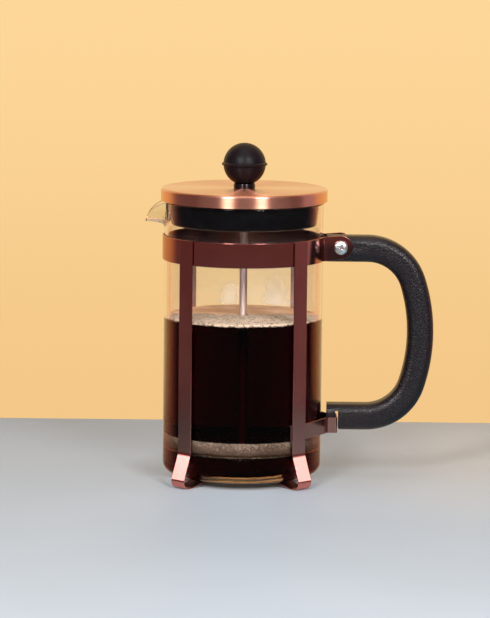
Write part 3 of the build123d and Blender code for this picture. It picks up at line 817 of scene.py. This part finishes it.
# Filter
def weave_screen():
    """The filter cloth, a shallow cup whose rim stands against the glass."""
    radius = MESH_R - MESH_T
    clear_selection()
    bpy.ops.mesh.primitive_circle_add(
        vertices=MESH_SIDES, radius=radius, fill_type="NOTHING", location=(0, 0, MESH_Z))
    screen = named("filter_screen")
    open_piece(screen)
    bpy.ops.mesh.select_all(action="SELECT")
    bpy.ops.mesh.extrude_edges_move(TRANSFORM_OT_translate={"value": (0, 0, MESH_RIM_H)})
    pick(screen, "VERT", lambda v: v.co.z < MESH_Z + MM)
    bpy.ops.mesh.extrude_edges_move()
    shrink = (ROD_R + ROD_GAP) / radius
    bpy.ops.transform.resize(value=(shrink, shrink, 1))
    rim_r = MESH_RIM_SHARE * MESH_R
    pick(screen, "EDGE", lambda e: all(v.co.z < MESH_Z + MM and v.co.xy.length > rim_r for v in e.verts))
    bpy.ops.mesh.bevel(offset=MESH_BEND_R, segments=MESH_BEND_STEPS, affect="EDGES")
    turn_faces_out()
    close_piece()
    thicken(screen, MESH_T, 0.0)
    smooth(screen)
    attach(screen, "plunger")
    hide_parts("mesh_screen")
    return screen


def wind_edge_spring():
    """A straight spring wound from round wire, then bent into a ring with its ends just apart."""
    length = 2 * math.pi * SPRING_RING_R * SPRING_CURLS / (SPRING_CURLS + SPRING_OPEN_CURLS)
    clear_selection()
    bpy.ops.mesh.primitive_circle_add(
        vertices=SPRING_WIRE_SIDES, radius=SPRING_WIRE_R, fill_type="NOTHING", location=(0, SPRING_CURL_R, 0))
    spring = named("edge_spring_coil")
    coil = spring.modifiers.new("coil", "SCREW")
    coil.axis = "X"
    coil.angle = 2 * math.pi
    coil.screw_offset = length / SPRING_CURLS
    coil.iterations = SPRING_CURLS
    coil.steps = SPRING_CURL_STEPS
    coil.render_steps = SPRING_CURL_STEPS
    apply_modifiers(spring)
    bend = spring.modifiers.new("bend", "SIMPLE_DEFORM")
    bend.deform_method = "BEND"
    bend.deform_axis = "Z"
    bend.angle = (length + 2 * SPRING_WIRE_R) / SPRING_RING_R
    apply_modifiers(spring)
    open_piece(spring)
    bpy.ops.mesh.select_all(action="SELECT")
    bpy.ops.mesh.remove_doubles(threshold=SPRING_WELD_GAP)
    bpy.ops.mesh.fill_holes(sides=0)
    turn_faces_out()
    bpy.ops.transform.translate(value=(0, -SPRING_RING_R, SPRING_Z))
    close_piece()
    smooth(spring, ROUNDED_ANGLE)
    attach(spring, "plunger")
    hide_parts("edge_spring")
    return spring


# Screw
def turn_screw():
    """A pan-head screw: shank, domed head and a tapered cross recess."""
    low, high = (Vector(corner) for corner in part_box("handle_screw"))
    middle = (low + high) / 2
    clear_selection()
    bpy.ops.mesh.primitive_circle_add(
        vertices=SCREW_SIDES, radius=SCREW_R, fill_type="NGON",
        location=(middle.x, high.y, middle.z), rotation=(math.pi / 2, 0, 0))
    screw = named("handle_screw_turned")
    open_piece(screw)
    bpy.ops.mesh.select_all(action="SELECT")
    radius = SCREW_R
    depth = high.y
    outline = [(SCREW_R, low.y + SCREW_HEAD_H)] + [(r * MM, low.y + h * MM) for r, h in SCREW_DOME]
    for next_radius, next_depth in outline:
        bpy.ops.mesh.extrude_region_move(TRANSFORM_OT_translate={"value": (0, next_depth - depth, 0)})
        bpy.ops.transform.resize(value=(next_radius / radius, 1, next_radius / radius))
        radius = next_radius
        depth = next_depth
    turn_faces_out()
    close_piece()
    for turn in (SCREW_TURN, SCREW_TURN + 90):
        clear_selection()
        bpy.ops.mesh.primitive_cube_add(
            size=MM, scale=RECESS_MM,
            location=(middle.x, low.y, middle.z), rotation=(0, math.radians(turn), 0))
        cutter = bpy.context.view_layer.objects.active
        open_piece(cutter)
        pick(cutter, "FACE", lambda f: f.normal.y > FACING_WAY)
        bpy.ops.transform.resize(value=(RECESS_TAPER, 1, RECESS_TAPER))
        close_piece()
        recess = screw.modifiers.new("recess", "BOOLEAN")
        recess.object = cutter
        recess.operation = "DIFFERENCE"
        apply_modifiers(screw)
        bpy.data.objects.remove(cutter)
    smooth(screw, SCREW_SHARP_ANGLE)
    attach(screw, frame["nodes"]["handle_screw"]["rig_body"])
    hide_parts("handle_screw")
    return screw


# Floor, light and background
def seen_mirrored(tree, path):
    """1 for light that clear glass or coffee has turned back, else 0."""
    clear = math_node(tree, "MAXIMUM", path["Is Singular Ray"], path["Is Transmission Ray"])
    return times(tree, clear, math_node(tree, "GREATER_THAN", path["Glossy Depth"], 0.5))


def pale_table():
    """Pale blue-grey, left out of what clear glass mirrors."""
    finish, tree, shader = new_finish("pale_table")
    path = node(tree, "ShaderNodeLightPath").outputs
    place = object_place(tree)
    parts = axes(tree, place)
    radius = from_axis(tree, parts)
    colour = spread(tree, noise(tree, place, scale=6.0, detail=2.0), *TABLE_TONES)
    right_side = between(tree, parts["X"], *TABLE_SIDE_X)
    # Painted reflections, seen only in brushed metal
    in_metal = mixed(tree, right_side, TABLE_IN_METAL_LEFT, TABLE_IN_METAL_RIGHT)
    in_metal = mixed(tree, between(tree, radius, *TABLE_FAR_R), TABLE_IN_METAL_NEAR, in_metal)
    colour = mixed(tree, path["Is Glossy Ray"], colour, in_metal)
    # A painted pool of light for the camera, then a painted shadow under the press
    sunny = overlap(tree, (parts["X"], SUNNY_X), (parts["Y"], SUNNY_Y))
    colour = mixed(tree, times(tree, sunny, path["Is Camera Ray"]), colour, SUNNY)
    colour = mixed(tree, between(tree, radius, *SHADE_R), SHADE, colour)
    fill(tree, shader, Base_Color=colour, Roughness=0.55)
    left_out = node(tree, "ShaderNodeMixShader")
    tree.links.new(seen_mirrored(tree, path), left_out.inputs[0])
    tree.links.new(shader.outputs[0], left_out.inputs[1])
    tree.links.new(node(tree, "ShaderNodeBsdfTransparent").outputs[0], left_out.inputs[2])
    tree.links.new(left_out.outputs[0], tree.nodes["Material Output"].inputs["Surface"])
    return finish


def lay_table():
    """A pale table with a painted pool of light and a painted soft shadow under the press; brushed metal
    mirrors it in painted tones of its own.
    """
    clear_selection()
    bpy.ops.mesh.primitive_cube_add(size=1.0, location=TABLE_MIDDLE)
    table = bpy.context.view_layer.objects.active
    table.name = "table"
    table.scale = TABLE_SIZE
    bpy.ops.object.transform_apply(location=True, rotation=True, scale=True)
    open_piece(table)
    pick(table, "EDGE", lambda e: True)
    bpy.ops.mesh.bevel(offset=TABLE_ROUND, segments=TABLE_ROUND_STEPS, affect="EDGES")
    close_piece()
    smooth(table)
    table.data.materials.append(pale_table())


def softbox(name, place, aim, width, height, radiance, beam):
    """A lamp with a flat face; a beam narrower than the widest keeps the same brightness head on."""
    half_beam = math.radians(beam / 2)
    lamp = bpy.data.lights.new(name, "AREA")
    lamp.shape = "RECTANGLE"
    lamp.size = width
    lamp.size_y = height
    lamp.spread = math.radians(beam)
    lamp.energy = radiance * math.pi * width * height
    if beam < WIDEST_BEAM:
        lamp.energy *= 1 - half_beam / math.tan(half_beam)
    box = bpy.data.objects.new(name, lamp)
    scene.collection.objects.link(box)
    box.location = place
    box.rotation_mode = "QUATERNION"
    box.rotation_quaternion = (Vector(aim) - Vector(place)).to_track_quat("-Z", "Y")
    box.visible_camera = False


def set_background():
    """A warm plain wall for the eye, painted a little darker low down as shade; painted reflections for the
    rest: brushed metal mirrors a dim room, and clear glass a dark one with a warm glow at its foot.
    """
    world = bpy.data.worlds.new("studio")
    scene.world = world
    world.use_nodes = True
    tree = world.node_tree
    tree.nodes.clear()
    way = axes(tree, node(tree, "ShaderNodeTexCoord").outputs["Generated"])
    path = node(tree, "ShaderNodeLightPath").outputs
    facing = math_node(tree, "DIVIDE", way["Y"], from_axis(tree, way))
    wall = ramp(tree, between(tree, way["Z"], *WALL_Z), WALL_STOPS)

    # A painted warm glow, mirrored only in the foot of the glass
    foot = overlap(
        tree, (way["Z"], FOOT_Z), (way["Y"], FOOT_NEAR_Y), (way["Y"], FOOT_FAR_Y), (way["X"], FOOT_X))
    low_edge = mixed(tree, foot, ramp(tree, facing, LOW_EDGE_STOPS), FOOT_GLOW)
    in_glass = mixed(tree, between(tree, way["Z"], *EDGE_Z), low_edge, ramp(tree, facing, EDGE_STOPS))

    # Painted reflections in brushed metal
    ahead = overlap(tree, (facing, AHEAD_FACING), (way["Z"], AHEAD_Z))
    right_hand = overlap(tree, (way["X"], RIGHT_X), (facing, RIGHT_FACING))
    high = between(tree, way["Z"], *WALL_IN_METAL_Z)
    wall_in_metal = mixed(tree, high, WALL_IN_METAL_LOW, WALL_IN_METAL_HIGH)
    in_metal = ramp(tree, between(tree, way["Z"], *ROOM_Z), ROOM_STOPS)
    in_metal = mixed(tree, ahead, in_metal, AHEAD)
    in_metal = mixed(tree, right_hand, in_metal, RIGHT)
    in_metal = mixed(tree, between(tree, facing, *WALL_IN_METAL_FACING), in_metal, wall_in_metal)

    through = math_node(tree, "MAXIMUM", path["Is Camera Ray"], path["Is Transmission Ray"])
    light = mixed(tree, path["Is Glossy Ray"], FILL_LIGHT, in_metal)
    light = mixed(tree, through, light, wall)
    light = mixed(tree, seen_mirrored(tree, path), light, in_glass)
    sky = node(tree, "ShaderNodeBackground", Color=light, Strength=1.0)
    out = node(tree, "ShaderNodeOutputWorld")
    tree.links.new(sky.outputs[0], out.inputs["Surface"])


set_camera()

strip_legs = antique_copper("antique_copper_legs", leg_lines)
strip_band = antique_copper("antique_copper_band", band_lines)
lid_copper = brushed_lid_copper()
handle_grain = grained_black("grained_black_handle", fineness=1350.0, strength=0.55, shine=0.37)
knob_grain = grained_black("grained_black_knob", fineness=2600.0, strength=0.22, shine=0.16)
black_gloss = gloss_black()
steel = turned_metal("turned_steel", STEEL_TONES, STEEL_ROUGH)
rod_steel = plunger_steel()
zinc = turned_metal("bright_zinc", ZINC_TONES, ZINC_ROUGH)
brass = turned_metal("turned_brass", BRASS_TONES, BRASS_ROUGH)
glass = clear_glass()

for leg in ("leg_strip_upper", "leg_strip_lower"):
    dress(softened(leg, LEG_ROUND, STRIP_ROUND_STEPS), strip_legs)
for strip in ("top_band", "handle_strap"):
    dress(softened(strip, BAND_ROUND, STRIP_ROUND_STEPS), strip_band)
dress(turn_screw(), zinc)
dress(softened("handle_nut", NUT_ROUND), zinc)
dress(softened("lid_cover", LID_ROUND), lid_copper)
dress(softened("handle", HANDLE_ROUND, level=False), handle_grain)
dress(frame["nodes"]["knob"], knob_grain)
dress(frame["nodes"]["lid_insert"], black_gloss)
dress(frame["nodes"]["lid_collar"], black_gloss)
dress(frame["nodes"]["glass_beaker"], glass)
dress(frame["nodes"]["plunger_rod"], rod_steel)
for part in ("rod_collar", "spring_plate", "cross_plate", "hub_nut"):
    dress(frame["nodes"][part], steel)
dress(frame["nodes"]["knob_insert"], brass)

coffee = pour_coffee()
dress(coffee, black_coffee())
dress(lay_foam(), coffee_foam())
dress(weave_screen(), woven_mesh())
dress(wind_edge_spring(), steel)

# Light reaches the foam and the filter through the glass and the coffee
frame["nodes"]["glass_beaker"].visible_shadow = False
coffee.visible_shadow = False

lay_table()
for lamp in SOFTBOXES:
    softbox(*lamp)
set_background()
scene.view_settings.view_transform = "Standard"
